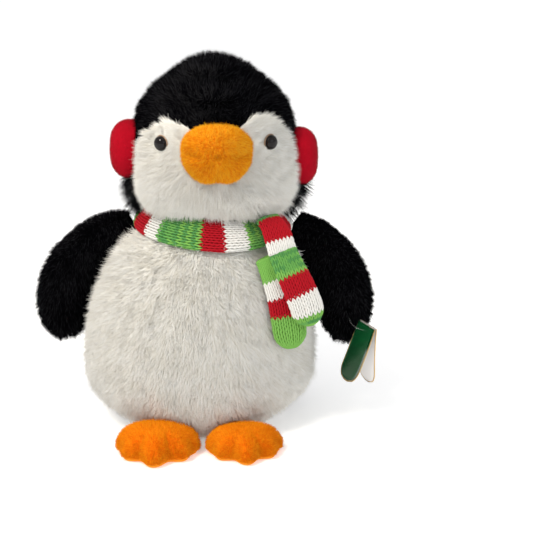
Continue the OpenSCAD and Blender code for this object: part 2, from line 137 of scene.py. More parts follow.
def planted(shape, count, seed):
    """Roots spread evenly by area over a surface: two irrational steps give each root's place, and the
    running sums of the area, over the rows and within each row, turn it into u and v."""
    n = 110
    rng = np.random.default_rng(seed)
    points = shape(*grid(n, n))
    across, up = np.diff(points, axis=1)[:-1], np.diff(points, axis=0)[:, :-1]
    area = np.linalg.norm(np.cross(across, up), axis=2) + 1e-9
    rows = np.concatenate([[0], np.cumsum(area.sum(1))])
    columns = np.concatenate([np.zeros((n, 1)), np.cumsum(area, 1)], 1)
    columns /= columns[:, -1:]
    k = np.arange(count)
    stray = rng.uniform(-0.35, 0.35, (2, count)) / np.sqrt(count)
    a = np.clip((0.5 + k * 0.7548776662) % 1 + stray[0], 1e-6, 1 - 1e-6)
    b = np.clip((0.5 + k * 0.5698402910) % 1 + stray[1], 1e-6, 1 - 1e-6)
    v = np.interp(a * rows[-1], rows, np.linspace(0, 1, n + 1))
    j = np.minimum((v * n).astype(int), n - 1)
    i = np.searchsorted((columns + np.arange(n)[:, None]).ravel(), b + j, side="right") - 1 - j * (n + 1)
    i = np.clip(i, 0, n - 1)
    u = (i + (b - columns[j, i]) / (columns[j, i + 1] - columns[j, i])) / n
    e = 1e-3
    root = shape(u, v)
    out = unit(np.cross(shape(u + e, v) - shape(u - e, v), shape(u, v + e) - shape(u, v - e)))
    return root, out, rng


def pile(shape, count, length, comb, seed, thick=0.3, clump=7, stray=0.2, soft=0.8):
    """Strands planted over a surface: each is a closed spike of three sides that grows out of the cloth
    and leans along comb plus a smooth wandering that gathers it in tufts. length (mm) and comb (lean, in
    lengths) are functions of the root points and the normals. thick is a strand's radius, clump the size
    of a tuft, stray how unruly the strands are, and soft how far they are shaded as the cloth is. Each
    strand has one of three tints, in patches."""
    root, out, rng = planted(shape, count, seed)
    tuft = wander(root, clump, seed + 1)
    fine = wander(root, clump * 0.42, seed + 2)
    long = length(root, out) * rng.uniform(0.7, 1.12, count) * (1 + 0.08 * tuft[:, 0] + 0.05 * fine[:, 0])
    lean = comb(root, out) + 0.17 * tuft + 0.14 * fine + rng.normal(scale=stray, size=(count, 3))
    way = unit(out + lean - out * np.minimum(0, (lean * out).sum(1, keepdims=True) + 0.55))
    tip = root + way * long[:, None]
    tip[:, 2] = np.maximum(tip[:, 2], 0.5 + 0.6 * rng.random(count))
    side = unit(np.cross(way, rng.normal(size=(count, 3))))
    other = np.cross(way, side)
    wide = thick * rng.uniform(0.75, 1.25, (count, 1))
    turn = [(np.cos(x), np.sin(x)) for x in (0, 2 * np.pi / 3, 4 * np.pi / 3)]
    round_ = [c * side + s * other for c, s in turn]
    low = [np.maximum(root - 0.5 * out + wide * r, [-1e9, -1e9, 0.1]) for r in round_]
    points = np.stack([*low, tip], 1).reshape(-1, 3)
    shaded = [unit(soft * out + (1.4 - soft) * r) for r in round_] + [unit(out + (1.3 - soft) * way)]
    normals = np.stack(shaded, 1).reshape(-1, 3)
    spike = np.array([[0, 1, 3, -1], [1, 2, 3, -1], [2, 0, 3, -1], [2, 1, 0, -1]])
    faces = np.where(spike < 0, -1, spike + 4 * np.arange(count)[:, None, None]).reshape(-1, 4)
    shade = 0.5 + 0.08 * wander(root, 26, seed + 3)[:, 0] + rng.normal(scale=0.3, size=count)
    tint = np.clip((3 * shade).astype(int), 0, 2)
    return points, faces, np.repeat(tint, len(spike)), normals


def make(name, materials, *parts):
    """One object from several parts, each its points in millimetres, its faces of four or three corners
    (the fourth is -1), the material of each face and, for pile, the normals it is shaded with."""
    start, points, faces, tints, normals = 0, [], [], [], []
    for p, f, m, *n in parts:
        points.append(p)
        faces.append(np.where(f < 0, -1, f + start))
        tints.append(m)
        normals.append(n[0] if n else np.zeros_like(p))
        start += len(p)
    points, faces, tints, normals = (np.concatenate(x) for x in (points, faces, tints, normals))
    count = (faces >= 0).sum(1)
    corners = faces.ravel()[faces.ravel() >= 0]
    mesh = bpy.data.meshes.new(name)
    mesh.vertices.add(len(points))
    mesh.vertices.foreach_set("co", (points * 0.001).ravel())
    mesh.loops.add(len(corners))
    mesh.loops.foreach_set("vertex_index", corners.astype(np.int32))
    mesh.polygons.add(len(count))
    mesh.polygons.foreach_set("loop_start", (np.cumsum(count) - count).astype(np.int32))
    mesh.polygons.foreach_set("use_smooth", np.ones(len(count), bool))
    mesh.polygons.foreach_set("material_index", tints.astype(np.int32))
    for material in materials:
        mesh.materials.append(material)
    mesh.update(calc_edges=True)
    if normals.any():
        mesh.normals_split_custom_set_from_vertices(normals)
    obj = bpy.data.objects.new(name, mesh)
    bpy.context.scene.collection.objects.link(obj)
    return obj


def finish_of(name, colour, rough, **more):
    """Plain finish: one colour and roughness, and any other sockets of the shader by name, _ for a space."""
    material = bpy.data.materials.new(name)
    material.use_nodes = True
    shader = material.node_tree.nodes["Principled BSDF"]
    shader.inputs["Base Color"].default_value = (*colour, 1)
    shader.inputs["Roughness"].default_value = rough
    for key, value in more.items():
        shader.inputs[key.replace("_", " ")].default_value = value
    return material


white_pile = [finish_of("white pile, shade", (0.84, 0.81, 0.735), 0.85, Specular_IOR_Level=0.2),
              finish_of("white pile", (0.90, 0.88, 0.82), 0.85, Specular_IOR_Level=0.2),
              finish_of("white pile, light", (0.95, 0.94, 0.90), 0.8, Specular_IOR_Level=0.3)]
# Three black tints scattered over the strands at random; the lightest, with more specular, is painted glint
# on the black pile.
black_pile = [finish_of("black pile, deep", (0.0015, 0.0015, 0.002), 0.7, Specular_IOR_Level=0),
              finish_of("black pile", (0.002, 0.002, 0.003), 0.7, Specular_IOR_Level=0.01),
              finish_of("black pile, painted glints", (0.006, 0.006, 0.008), 0.5, Specular_IOR_Level=0.1)]


def band_height(p):
    """Height of the scarf band's lower edge beside a point of the torso."""
    turn = p[:, 0] - NECK_X
    return TORSO_H - 20 - 6.5 * turn / np.maximum(np.hypot(turn, p[:, 1]), 1)


def torso_comb(p, out):
    """Down the cloth, and a little outwards below the widest line."""
    down = xyz(0.1 * unit(p)[:, 0], 0 * p[:, 0], -0.85 + 0.25 * eased(60, 20, p[:, 2]))
    return down - 0.6 * out * (down * out).sum(1, keepdims=True)


def belly_length(p, out):
    """Full length over the belly, cropped where the scarf lies on it and at the base."""
    under = eased(-4, 8, p[:, 2] - band_height(p))
    return mix(9.0, 2.2, under) * mix(0.6, 1, eased(2, 28, p[:, 2]))


def back_length(p, out):
    under = eased(-4, 8, p[:, 2] - band_height(p))
    return mix(8.5, 2.0, under) * mix(0.6, 1, eased(2, 22, p[:, 2]))


def belly(inset):
    """The torso's front from side seam to side seam, a gap (degrees) short of each."""
    def shape(u, v):
        a = seam(v) - GAP
        return torso_pt(mix(-a, a, u), v, inset)
    return shape


def back(side, inset):
    def shape(u, v):
        a, b = seam(v) + GAP, 180 - GAP
        return torso_pt(mix(a, b, u) if side > 0 else mix(-b, -a, u), v, inset)
    return shape


belly_panel = make("belly_pile", white_pile, shell(belly(0), belly(CLOTH), 60, 44),
                   pile(belly(0), 68000, belly_length, torso_comb, 11, thick=0.34, clump=8))
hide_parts("belly_panel")
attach(belly_panel, "torso")

for side, word in ((-1, "left"), (1, "right")):
    strands = pile(back(side, 0), 30000, back_length, torso_comb, 21 + side, thick=0.34, clump=8, soft=0.5)
    panel = make(f"back_pile_{word}", black_pile, shell(back(side, 0), back(side, CLOTH), 30, 44), strands)
    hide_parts(f"back_panel_{word}")
    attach(panel, "torso")

# ------------------------------------------------------------------------------------------------
# Inside and under the torso: polyester fibre, a woven bag of pellets, and a round base of short
# black cloth. They keep the shapes of the working parts.


class Socket:
    """An output of a shader node, and the ways to put more nodes after it."""

    def __init__(self, tree, output):
        self.tree, self.output = tree, output

    def node(self, kind, settings=(), **inputs):
        """The node of that kind, its settings first and then its sockets, numbers or links. A socket is
        named with _ for a space, or by its number after a _."""
        made = self.tree.nodes.new(kind)
        for key, value in dict(settings).items():
            setattr(made, key, value)
        for key, value in inputs.items():
            socket = made.inputs[int(key[1:])] if key[0] == "_" else made.inputs[key.replace("_", " ")]
            if isinstance(value, Socket):
                self.tree.links.new(value.output, socket)
            else:
                socket.default_value = value
        return made

    def of(self, made, name=0):
        return Socket(self.tree, made.outputs[name])

    def blend(self, a, b):
        """Colour that goes from a to b as this goes from 0 to 1."""
        return self.of(self.node("ShaderNodeMix", {"data_type": "RGBA"}, _0=self, _6=(*a, 1), _7=(*b, 1)), 2)


def grainy(name, dark, light, rough, size, height, **more):
    """Cloth or fibre: noise of a grain's size (mm) on the object's own place mottles the colour and raises
    bumps of a height (mm)."""
    material = finish_of(name, light, rough, **more)
    tree = material.node_tree
    shader = tree.nodes["Principled BSDF"]
    place = Socket(tree, tree.nodes.new("ShaderNodeTexCoord").outputs["Object"])
    grain = place.node("ShaderNodeTexNoise", Vector=place, Scale=1000 / size, Detail=3.0, Roughness=0.6)
    noise = place.of(grain)
    tree.links.new(noise.blend(dark, light).output, shader.inputs["Base Color"])
    bump = place.node("ShaderNodeBump", Strength=0.6, Distance=height * 0.001, Height=noise)
    tree.links.new(bump.outputs[0], shader.inputs["Normal"])
    return material


fibre = grainy("polyester fibre", (0.78, 0.78, 0.76), (0.93, 0.93, 0.92), 0.95, 5, 1.2)
bag_cloth = grainy("pellet bag cloth", (0.62, 0.6, 0.55), (0.78, 0.76, 0.7), 0.9, 1.2, 0.3)
short_black = grainy("short black cloth", (0.007, 0.007, 0.009), (0.02, 0.02, 0.024), 0.8, 1, 0.4)


def dressed(name, material):
    """Gives a working part its finish."""
    node = bpy.data.objects[name]
    node.data.materials.clear()
    node.data.materials.append(material)
    return node


for name in ("torso_stuffing", "neck_stuffing", "head_stuffing", "beak_stuffing", "earmuff_stuffing_left",
             "earmuff_stuffing_right", "wing_left_stuffing", "wing_right_stuffing", "foot_left_stuffing",
             "foot_right_stuffing"):
    dressed(name, fibre)
dressed("pellet_bag", bag_cloth)
dressed("base_panel", short_black)
dressed("neck_sleeve", short_black)

# ------------------------------------------------------------------------------------------------
# Head: two white face panels joined under the beak and two black hood panels that run down between
# the eyes in a peak. The pile is brushed away from the beak and eyes and hangs over the scarf.

HEAD_C, HEAD_RX, HEAD_RY, HEAD_RZ, HEAD_LOW, YAW = np.array([NECK_X, 0, 197.0]), 48, 45, 46.5, 49, 4
MOUTH, CROWN, FACE_SIDE, EYE_SIDE, EYE_RISE, BEAK_LOW = -64, 89.6, 92, 44, -2, -5
FACE_LINE = np.array([-2, 3, 9.5, 11.5, 9.5, 3, -11, -38, -57])[:, None]


def turned(p, degrees):
    """Points turned about the Z axis."""
    x, y, z = np.moveaxis(p, -1, 0)
    return xyz(x * cos(degrees) - y * sin(degrees), x * sin(degrees) + y * cos(degrees), z)


def head_pt(th, ph, out=0):
    """Ball that is squarer below its middle and more pointed above it, with swollen cheeks, a brow ridge
    and a hollow above it: th degrees round from the face, ph degrees up, out (mm) off the cloth."""
    n = 2.1 + 1.4 * eased(5, -45, ph) - 0.4 * eased(8, 45, ph)
    c, s = np.abs(cos(ph)) ** (2 / n), np.sign(sin(ph)) * np.abs(sin(ph)) ** (2 / n)
    brow = bell(th, 62) * (2.6 * bell(ph - 36, 8) - 4.0 * bell(ph - 52, 7))
    r = out + 5 * (bell(th - 62, 36) + bell(th + 62, 36)) * bell(ph + 32, 24) + brow
    height = np.where(ph > 0, HEAD_RZ, HEAD_LOW)
    ball = xyz((HEAD_RX + r) * c * sin(th), -(HEAD_RY + r) * c * cos(th), (height + r) * s)
    return HEAD_C + turned(ball, YAW)


def face_top(th):
    """Elevation of the white face's top edge: highest over the eyes, more so over the right one, lower at
    the beak and lowest at the sides."""
    extra = np.where(th > 0, 4, 0) * bell(np.abs(th) - 34, 20)
    return through(FACE_LINE, np.abs(th) / FACE_SIDE)[..., 0] + extra


def face(side, out):
    """From under the beak to the top edge, and from the middle seam to the side."""
    def shape(u, v):
        th = mix(GAP, FACE_SIDE, u) if side > 0 else mix(-FACE_SIDE, -GAP, u)
        return head_pt(th, mix(MOUTH, face_top(th), v), out)
    return shape


def hood(side, out):
    """Half of its stations run over the white face's top edge and half from the face's side to the back."""
    def shape(u, v):
        w = u if side > 0 else 1 - u
        a = np.where(w < 0.5, mix(GAP, FACE_SIDE, 2 * w), mix(FACE_SIDE, 180 - GAP, 2 * w - 1))
        low = np.where(w <= 0.5, face_top(side * a) + 2 * GAP, MOUTH)
        return head_pt(side * a, mix(low, CROWN, v), out)
    return shape


EYES = [head_pt(side * EYE_SIDE, EYE_RISE) for side in (-1, 1)]
BEAK_C = head_pt(0, BEAK_LOW)


def turn_of(p):
    """Angle of a point of the head round from the face."""
    x, y, _ = np.moveaxis(turned(p - HEAD_C, -YAW), -1, 0)
    return np.degrees(np.arctan2(x, -y))


def face_length(p, out):
    """Longest at the cheeks and the chin, cropped round the eyes and the beak and below the earmuffs."""
    eye = np.minimum(*(np.linalg.norm(p - e - [0, 0, 1.5], axis=1) for e in EYES))
    beak = np.hypot((p[:, 0] - BEAK_C[0]) / 1.35, p[:, 2] - BEAK_C[2])
    full = mix(8.5, 14, eased(200, 165, p[:, 2])) * mix(1, 0.85, eased(158, 150, p[:, 2]))
    full = full * mix(1, 0.55, eased(48, 80, np.abs(turn_of(p))) * eased(192, 176, p[:, 2]))
    return full * mix(0.16, 1, eased(3, 12.5, eye)) * mix(0.35, 1, eased(15, 25, beak))


def face_comb(p, out):
    """Away from the beak and round the eyes, turning downwards at the cheeks and the chin."""
    away = unit(p - BEAK_C)
    for e in EYES:
        away += 1.5 * unit(p - e) * bell(np.linalg.norm(p - e, axis=1), 12)[:, None]
    away += xyz(0, 0, -0.75 * eased(205, 170, p[:, 2]) - 0.9 * eased(168, 155, p[:, 2]))
    away -= out * (away * out).sum(1, keepdims=True)
    return mix(0.45, 0.8, eased(205, 185, p[:, 2]))[:, None] * unit(away)


def above_face(p):
    """Height of a point of the hood over the edge of the white face beneath it, with 60 mm more behind
    the earmuffs, where there is no edge."""
    th = turn_of(p)
    return p[:, 2] - head_pt(th, face_top(th))[:, 2] + 60 * eased(74, 90, np.abs(th))


def jowls(p):
    """1 below and behind the earmuffs, where the hood's pile stands out beside the cheeks."""
    th = np.abs(turn_of(p))
    return eased(190, 168, p[:, 2]) * eased(72, 88, th) * eased(150, 118, th)


def hood_length(p, out):
    """Shorter over the crown, cropped along the white face, longest below the earmuffs."""
    full = mix(7.2, 10, eased(200, 172, p[:, 2])) * mix(0.35, 1, eased(0, 14, above_face(p)))
    return mix(full, 22, jowls(p))


def hood_comb(p, out):
    """Up from the white face, back over the crown, down the sides and outwards beside the cheeks."""
    rise = mix(0.5, -0.75 + 0.35 * eased(200, 235, p[:, 2]), eased(4, 22, above_face(p)))
    aside = 0.15 * unit(p - HEAD_C)[:, 0] + 0.5 * jowls(p) * np.sign(p[:, 0] - HEAD_C[0])
    back_ = xyz(aside, 0.3 - 0.5 * jowls(p), mix(rise, -0.95, jowls(p)))
    return back_ - 0.7 * out * (back_ * out).sum(1, keepdims=True)


for side, word in ((-1, "left"), (1, "right")):
    panel = make(f"face_pile_{word}", white_pile, shell(face(side, 0), face(side, -CLOTH), 36, 30),
                 pile(face(side, 0), 34000, face_length, face_comb, 31 + side))
    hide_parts(f"face_panel_{word}")
    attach(panel, "head")
    strands = pile(hood(side, 0), 34000, hood_length, hood_comb, 41 + side, thick=0.32, soft=0.5)
    panel = make(f"hood_pile_{word}", black_pile, shell(hood(side, 0), hood(side, -CLOTH), 60, 30), strands)
    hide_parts(f"hood_panel_{word}")
    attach(panel, "head")

# ------------------------------------------------------------------------------------------------
# Beak: two cups of short orange pile, one over the other, sewn into a bulb and pulled in at the
# corners of the mouth by the seam.

BEAK_L, BEAK_SIDE, BEAK_RISE = 23, 24, 15.5
orange_pile = [finish_of("orange pile, shade", (0.80, 0.20, 0.001), 0.8, Specular_IOR_Level=0.12),
               finish_of("orange pile", (0.96, 0.36, 0.003), 0.8, Specular_IOR_Level=0.12),
               finish_of("orange pile, light", (1.0, 0.50, 0.02), 0.75, Specular_IOR_Level=0.2)]


def beak_pt(rho, psi, share, height):
    """Dome on the face: rho from its middle to its rim, psi round it, swelling halfway, drawn in along
    the mouth, at its middle and between the two lobes of its lower edge. The lower half is narrower."""
    d = np.sqrt(np.maximum(0, 1 - rho * rho))
    mouth = bell(np.minimum(psi % 180, 180 - psi % 180), 13) * eased(0.25, 0.75, rho)
    notch = bell(psi % 360 - 270, 17) * eased(0.3, 0.8, rho)
    swell = share * rho * (1 + 0.44 * d * (1 - d)) * (1 - 0.1 * mouth * d - 0.13 * notch)
    narrow = 1 - 0.12 * eased(0, -0.7, sin(psi)) * d
    base = head_pt(BEAK_SIDE * narrow * swell * cos(psi), BEAK_LOW + BEAK_RISE * swell * sin(psi), 0.5)
    drawn = 4.5 * mouth * (1 - 0.7 * rho) + 3.5 * notch * d + 2 * bell(rho, 0.14)
    return base + turned(xyz(0, -(height * d - drawn), -0.5 * d), YAW)


def beak_half(first, share, height):
    def shape(u, v):
        return beak_pt(mix(0.04, 1, v), mix(first + 0.8, first + 179.2, 1 - u), share, height)
    return shape


def short_length(p, out):
    return np.full(len(p), 3.3)


def down_comb(p, out):
    return xyz(0 * p[:, 0], -0.1, -0.45)


for first, word in ((0, "upper"), (180, "lower")):
    outer, inner = beak_half(first, 1, BEAK_L), beak_half(first, 0.84, BEAK_L - 2.2)
    strands = pile(outer, 11000, short_length, down_comb, 51 + first, 0.26, clump=3.4, stray=0.4, soft=0.3)
    panel = make(f"beak_pile_{word}", orange_pile, shell(outer, inner, 40, 24), strands)
    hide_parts(f"beak_{word}")
    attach(panel, "head")

# ------------------------------------------------------------------------------------------------
# Eyes: glossy dark domes of moulded plastic on ribbed shanks, pushed through the face and locked
# with plastic washers behind the cloth.

EYE_R = 4.9
dark_gloss = finish_of("eye plastic", (0.004, 0.002, 0.002), 0.05, Specular_IOR_Level=0.25)
# The brown bead round each dome's foot is partly the plastic's own dark brown and partly painted light: it
# is coloured lighter, as the thin edge looks where light shines through it.
lit_edge_brown = finish_of("eye rim, painted light through its edge", (0.30, 0.19, 0.12), 0.4)
milky = finish_of("washer plastic", (0.86, 0.86, 0.84), 0.4)


def turned_on(profile, steps, place, out):
    """A profile of radius and height turned about an axis through place that points along out, closed at
    both ends."""
    out = unit(np.asarray(out, float))
    side = unit(np.cross((0, 0, 1), out))
    other = np.cross(out, side)
    r, h = np.asarray(profile, float).T
    a = np.linspace(0, 360, steps, endpoint=False)
    ring = cos(a)[:, None] * side + sin(a)[:, None] * other
    points = place + h[:, None, None] * out + r[:, None, None] * ring
    at = np.arange(len(r) * steps).reshape(len(r), steps)
    low, high = at[:-1], at[1:]
    faces = np.stack([low, np.roll(low, -1, 1), np.roll(high, -1, 1), high], -1).reshape(-1, 4)
    first, last = at.size, at.size + 1
    cap = np.stack([np.roll(at[0], -1), at[0], np.full(steps, first), np.full(steps, -1)], -1)
    lid = np.stack([at[-1], np.roll(at[-1], -1), np.full(steps, last), np.full(steps, -1)], -1)
    points = np.concatenate([points.reshape(-1, 3), [place + h[0] * out], [place + h[-1] * out]])
    faces = np.concatenate([faces, cap, lid])
    return points, faces, np.zeros(len(faces), int)


def tinted(part, tint):
    return part[0], part[1], np.full(len(part[1]), tint)


for side, word, place in ((-1, "left", EYES[0]), (1, "right", EYES[1])):
    axis = turned(xyz(0, -cos(4), -sin(4)), YAW + side * EYE_SIDE)
    dome = [[1.7, -9], [1.9, -8.6], [1.9, 0.2], [EYE_R - 0.5, 0.3], [EYE_R, 0.7]]
    dome += [[EYE_R * cos(a) ** 0.9, 0.9 + 4.3 * sin(a)] for a in np.linspace(0, 89, 14)]
    bead = [[EYE_R - 0.9, 0.1], [EYE_R + 0.35, 0.15], [EYE_R + 0.5, 0.6], [EYE_R + 0.3, 1.05],
            [EYE_R - 0.6, 1.15]]
    eye = make(f"eye_dome_{word}", [dark_gloss, lit_edge_brown], turned_on(dome, 40, place, axis),
               tinted(turned_on(bead, 40, place, axis), 1))
    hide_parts(f"eye_{word}")
    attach(eye, "head")
    dressed(f"eye_washer_{word}", milky)

# ------------------------------------------------------------------------------------------------
# Earmuffs: padded discs of crimson fleece sewn to the sides of the head, with a fuzz of loose
# fibres on the fleece.

MUFF_R, MUFF_T, MUFF_EDGE = 19, 17, 11
red_fleece = grainy("red fleece", (0.30, 0.001, 0.009), (0.44, 0.002, 0.014), 0.9, 2.2, 0.35,
                    Specular_IOR_Level=0.1)
red_fuzz = [finish_of("red fuzz, dark", (0.28, 0.001, 0.009), 0.9, Specular_IOR_Level=0.1),
            finish_of("red fuzz", (0.38, 0.002, 0.012), 0.9, Specular_IOR_Level=0.1),
            finish_of("red fuzz, light", (0.48, 0.004, 0.02), 0.9, Specular_IOR_Level=0.1)]


def muff_profile(v, r, t, edge):
    """Half section of a padded disc from its seam to its middle: a short wall, a round edge and a gently
    domed face."""
    wall, arc = t - edge, np.pi / 2 * edge
    whole = wall + arc + (r - edge)
    s = v * whole
    a = np.clip((s - wall) / edge, 0, np.pi / 2)
    radius = np.where(s < wall, r, (r - edge) + edge * np.cos(a)) - np.maximum(0, s - wall - arc)
    height = np.minimum(s, wall) + edge * np.sin(a) + 0.8 * eased(wall + arc * 0.6, whole, s)
    return np.maximum(radius, 0.02), height


def muff(side, r, t, edge):
    beside = HEAD_RX * cos(YAW) + 2.4
    middle = HEAD_C + [side * beside, side * HEAD_RX * sin(YAW), -14 - side * 3]

    def shape(u, v):
        radius, height = muff_profile(v, r, t, edge)
        a = 360 * u * side
        return middle + xyz(side * height, radius * cos(a), radius * sin(a))
    return shape


def fuzz_length(p, out):
    return np.full(len(p), 1.3)


def no_comb(p, out):
    return 0 * p


for side, word in ((-1, "left"), (1, "right")):
    outer = muff(side, MUFF_R, MUFF_T, MUFF_EDGE)
    pad = make(f"earmuff_pad_{word}", [red_fleece],
               shell(outer, muff(side, MUFF_R - 2, MUFF_T - 2, MUFF_EDGE - 1.5), 56, 26))
    fuzz = pile(outer, 6000, fuzz_length, no_comb, 61 + side, thick=0.12, clump=4)
    strands = make(f"earmuff_fuzz_{word}", red_fuzz, fuzz)
    for piece in (pad, strands):
        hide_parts(f"earmuff_{word}")
        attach(piece, "head")

# ------------------------------------------------------------------------------------------------
# Wings: flat paddles of black pile, a front and a back sewn round their edge, lightly stuffed and
# sewn into the side seams at the shoulders, where they swing.

WING_T = 19
WING_LINE = [[4, 4, 4], [-4, 0, 9], [-17, -9, 14], [-30, -23, 16.5], [-39, -39, 17.5],
             [-43, -56, 16.5], [-43.5, -69, 12.5], [-42.5, -77, 4]]
SHOULDERS = {-1: np.array([-50, 7, 132.0]), 1: np.array([63, 7, 132.0])}


def wing_pt(side, psi, t, inset):
    """Flattened tube along the wing's middle line: psi round the section, t from the shoulder to the tip."""
    x, z, w = np.moveaxis(through(WING_LINE, t), -1, 0)
    step = through(WING_LINE, np.minimum(1, t + 0.01)) - through(WING_LINE, np.maximum(0, t - 0.01))
    m = np.hypot(step[..., 0], step[..., 1])
    w = np.maximum(w - inset, 0.3)
    thick = np.maximum(WING_T / 2 * sin(180 * mix(0.1, 0.94, t)) ** 0.6 - inset, 0.3)
    p = xyz(x + w * cos(psi) * step[..., 1] / m, thick * sin(psi), z - w * cos(psi) * step[..., 0] / m)
    if side > 0:
        x, y, z = np.moveaxis(p, -1, 0)
        p = xyz(-x * cos(5) + z * sin(5), y, x * sin(5) + z * cos(5))
    return SHOULDERS[side] + p


def wing_half(side, first, inset):
    root = 0.12 if side > 0 else 0.01

    def shape(u, v):
        turn = u if side < 0 else 1 - u
        return wing_pt(side, mix(first + 0.8, first + 179.2, turn), mix(root, 0.99, v), inset)
    return shape


def wing_length(p, out):
    return np.where(p[:, 0] > 0, 4.8, 6.4) * mix(1, 0.55, eased(104, 132, p[:, 2]))


def wing_comb(p, out):
    down = xyz(-0.15 * np.sign(p[:, 0]), 0.05, -0.8)
    return down - 0.6 * out * (down * out).sum(1, keepdims=True)


for side, word in ((-1, "left"), (1, "right")):
    for first, face_word in ((180, "front"), (0, "back")):
        outer, inner = wing_half(side, first, 0), wing_half(side, first, CLOTH - 0.4)
        strands = pile(outer, 14000, wing_length, wing_comb, 71 + first + side, thick=0.32, soft=0.5)
        panel = make(f"wing_pile_{word}_{face_word}", black_pile, shell(outer, inner, 24, 30), strands)
        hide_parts(f"wing_{word}_{face_word}")
        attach(panel, f"wing_{word}")

# ------------------------------------------------------------------------------------------------
# Feet: orange domes with three round toes, quilted between the toes, on flat soles of the same
# short pile.

FOOT_W, FOOT_B, FOOT_HEEL, FOOT_H, TOE, TOE_STEP, RIM_STEPS = 24, 18, 12.5, 14, 2.3, 50, 96
FEET = {"left": (np.array([-23.5, -70.8, 0.0]), 1.08, -2), "right": (np.array([32, -69.6, 0.0]), 0.98, 6)}
foot_pile = [finish_of("foot pile, shade", (0.88, 0.21, 0.001), 0.8, Specular_IOR_Level=0.12),
             finish_of("foot pile", (0.96, 0.28, 0.001), 0.8, Specular_IOR_Level=0.12),
             finish_of("foot pile, light", (1.0, 0.35, 0.003), 0.75, Specular_IOR_Level=0.2)]
orange_felt = grainy("orange sole", (0.8, 0.26, 0.005), (0.95, 0.38, 0.01), 0.85, 1.4, 0.3)


def foot_rim(psi, toes=1):
    """Oval with three round toes in front: an ellipse, a middle toe that stands ahead, and a wave for the
    notches between them."""
    q = np.abs((psi + 180) % 360 - 180)
    oval = 1 / np.sqrt((sin(q) / FOOT_W) ** 2 + (cos(q) / np.where(q < 90, FOOT_B, FOOT_HEEL)) ** 2)
    wave = TOE * cos(q * 360 / TOE_STEP) * (1 - eased(1.3 * TOE_STEP, 1.7 * TOE_STEP, q))
    return oval + 5 * bell(q, 30) + toes * wave


def foot(word, inset):
    """Dome over the rim: the notches between the toes fade upwards and end in two short quilted grooves."""
    middle, size, turn = FEET[word]

    def shape(u, v):
        psi, up = 360 * u, mix(0, 89.5, v)
        r = (foot_rim(psi, mix(0.9, 0.3, eased(0.05, 0.6, v))) - inset) * np.abs(cos(up)) ** 0.7
        q = np.abs((psi + 180) % 360 - 180)
        groove = 0.8 * bell(q - TOE_STEP / 2, 5) * eased(0.1, 0.4, v) * eased(0.85, 0.5, v) * (inset < 1)
        z = 2.3 + (FOOT_H - inset) * np.maximum(sin(up), 0) ** 0.8 - groove
        return middle + size * turned(xyz(r * sin(psi), -r * cos(psi) + 1.5 * sin(up), z), turn)
    return shape


def sole(word):
    """Flat slab under the rim, a little inside it, each face a fan about its middle."""
    middle, size, turn = FEET[word]
    psi = np.linspace(0, 360, RIM_STEPS, endpoint=False)
    r = foot_rim(psi) - 0.8
    rings = [(0.97, 0.02), (1, 0.5), (1, 1.9)]
    rims = [xyz(k * r * sin(psi), -k * r * cos(psi), z) for k, z in rings]
    middles = np.array([[0, 0, 0.02], [0, 0, 1.9]])
    at = np.arange(3 * RIM_STEPS).reshape(3, RIM_STEPS)
    low, high, none = at[:-1], at[1:], np.full(RIM_STEPS, -1)
    faces = np.stack([low, np.roll(low, -1, 1), np.roll(high, -1, 1), high], -1).reshape(-1, 4)
    fan = np.stack([np.roll(at[0], -1), at[0], np.full(RIM_STEPS, at.size), none], -1)
    lid = np.stack([at[2], np.roll(at[2], -1), np.full(RIM_STEPS, at.size + 1), none], -1)
    faces = np.concatenate([faces, fan, lid])
    points = np.concatenate([*rims, middles])
    return middle + size * turned(points, turn), faces, np.zeros(len(faces), int)


def toe_comb(p, out):
    return xyz(0, -0.35, -0.25) + 0 * p


def toe_length(p, out):
    return np.full(len(p), 2.9) * mix(0.5, 1, eased(2, 5, p[:, 2]))


for word in FEET:
    strands = pile(foot(word, 0), 15000, toe_length, toe_comb, 81 + len(word), 0.24, clump=4, stray=0.3,
                   soft=0.45)
    top = make(f"foot_pile_{word}", foot_pile, shell(foot(word, 0), foot(word, 2), RIM_STEPS, 20), strands)
    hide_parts(f"foot_{word}_top")
    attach(top, f"foot_{word}")
    under = make(f"foot_felt_{word}", [orange_felt], sole(word))
    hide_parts(f"foot_{word}_sole")
    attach(under, f"foot_{word}")

# ------------------------------------------------------------------------------------------------
# Scarf: a striped stockinette tube pressed flat, wound once round the neck with its ends crossed
# over the right shoulder and tacked at the back. Each course of yarn is its own ring of loops.

SCARF_W, SCARF_T, TAIL_W, CROSS_W, YARN = 22, 7.2, 19.5, 15.5, 0.62
knit = [finish_of("yarn, spring green", (0.175, 0.40, 0.08), 0.9, Specular_IOR_Level=0.2),
        finish_of("yarn, green", (0.12, 0.33, 0.075), 0.9, Specular_IOR_Level=0.2),
        finish_of("yarn, leaf green", (0.075, 0.25, 0.068), 0.9, Specular_IOR_Level=0.2),
        finish_of("yarn, crimson", (0.38, 0.004, 0.012), 0.9, Specular_IOR_Level=0.2),
        finish_of("yarn, white", (0.70, 0.69, 0.66), 0.9, Specular_IOR_Level=0.2)]
SPRING, GREEN, LEAF, RED, WHITE = range(5)


def full_oval(a):
    """Across and through an oval with full, flat sides: the cosine and the sine, each raised to a power
    under 1 with its sign kept."""
    return np.sign(cos(a)) * np.abs(cos(a)) ** 0.8, np.sign(sin(a)) * np.abs(sin(a)) ** 0.85


def flat_oval(u, wide, thick):
    """Point across and through a pressed tube, u of the way round it by its length."""
    a = np.linspace(0, 360, 721)
    x, y = full_oval(a)
    run = np.concatenate([[0], np.cumsum(np.hypot(np.diff(x) * SCARF_W, np.diff(y) * SCARF_T))])
    x, y = full_oval(np.interp(np.mod(u, 1), run / run[-1], a))
    return wide / 2 * x, thick / 2 * y


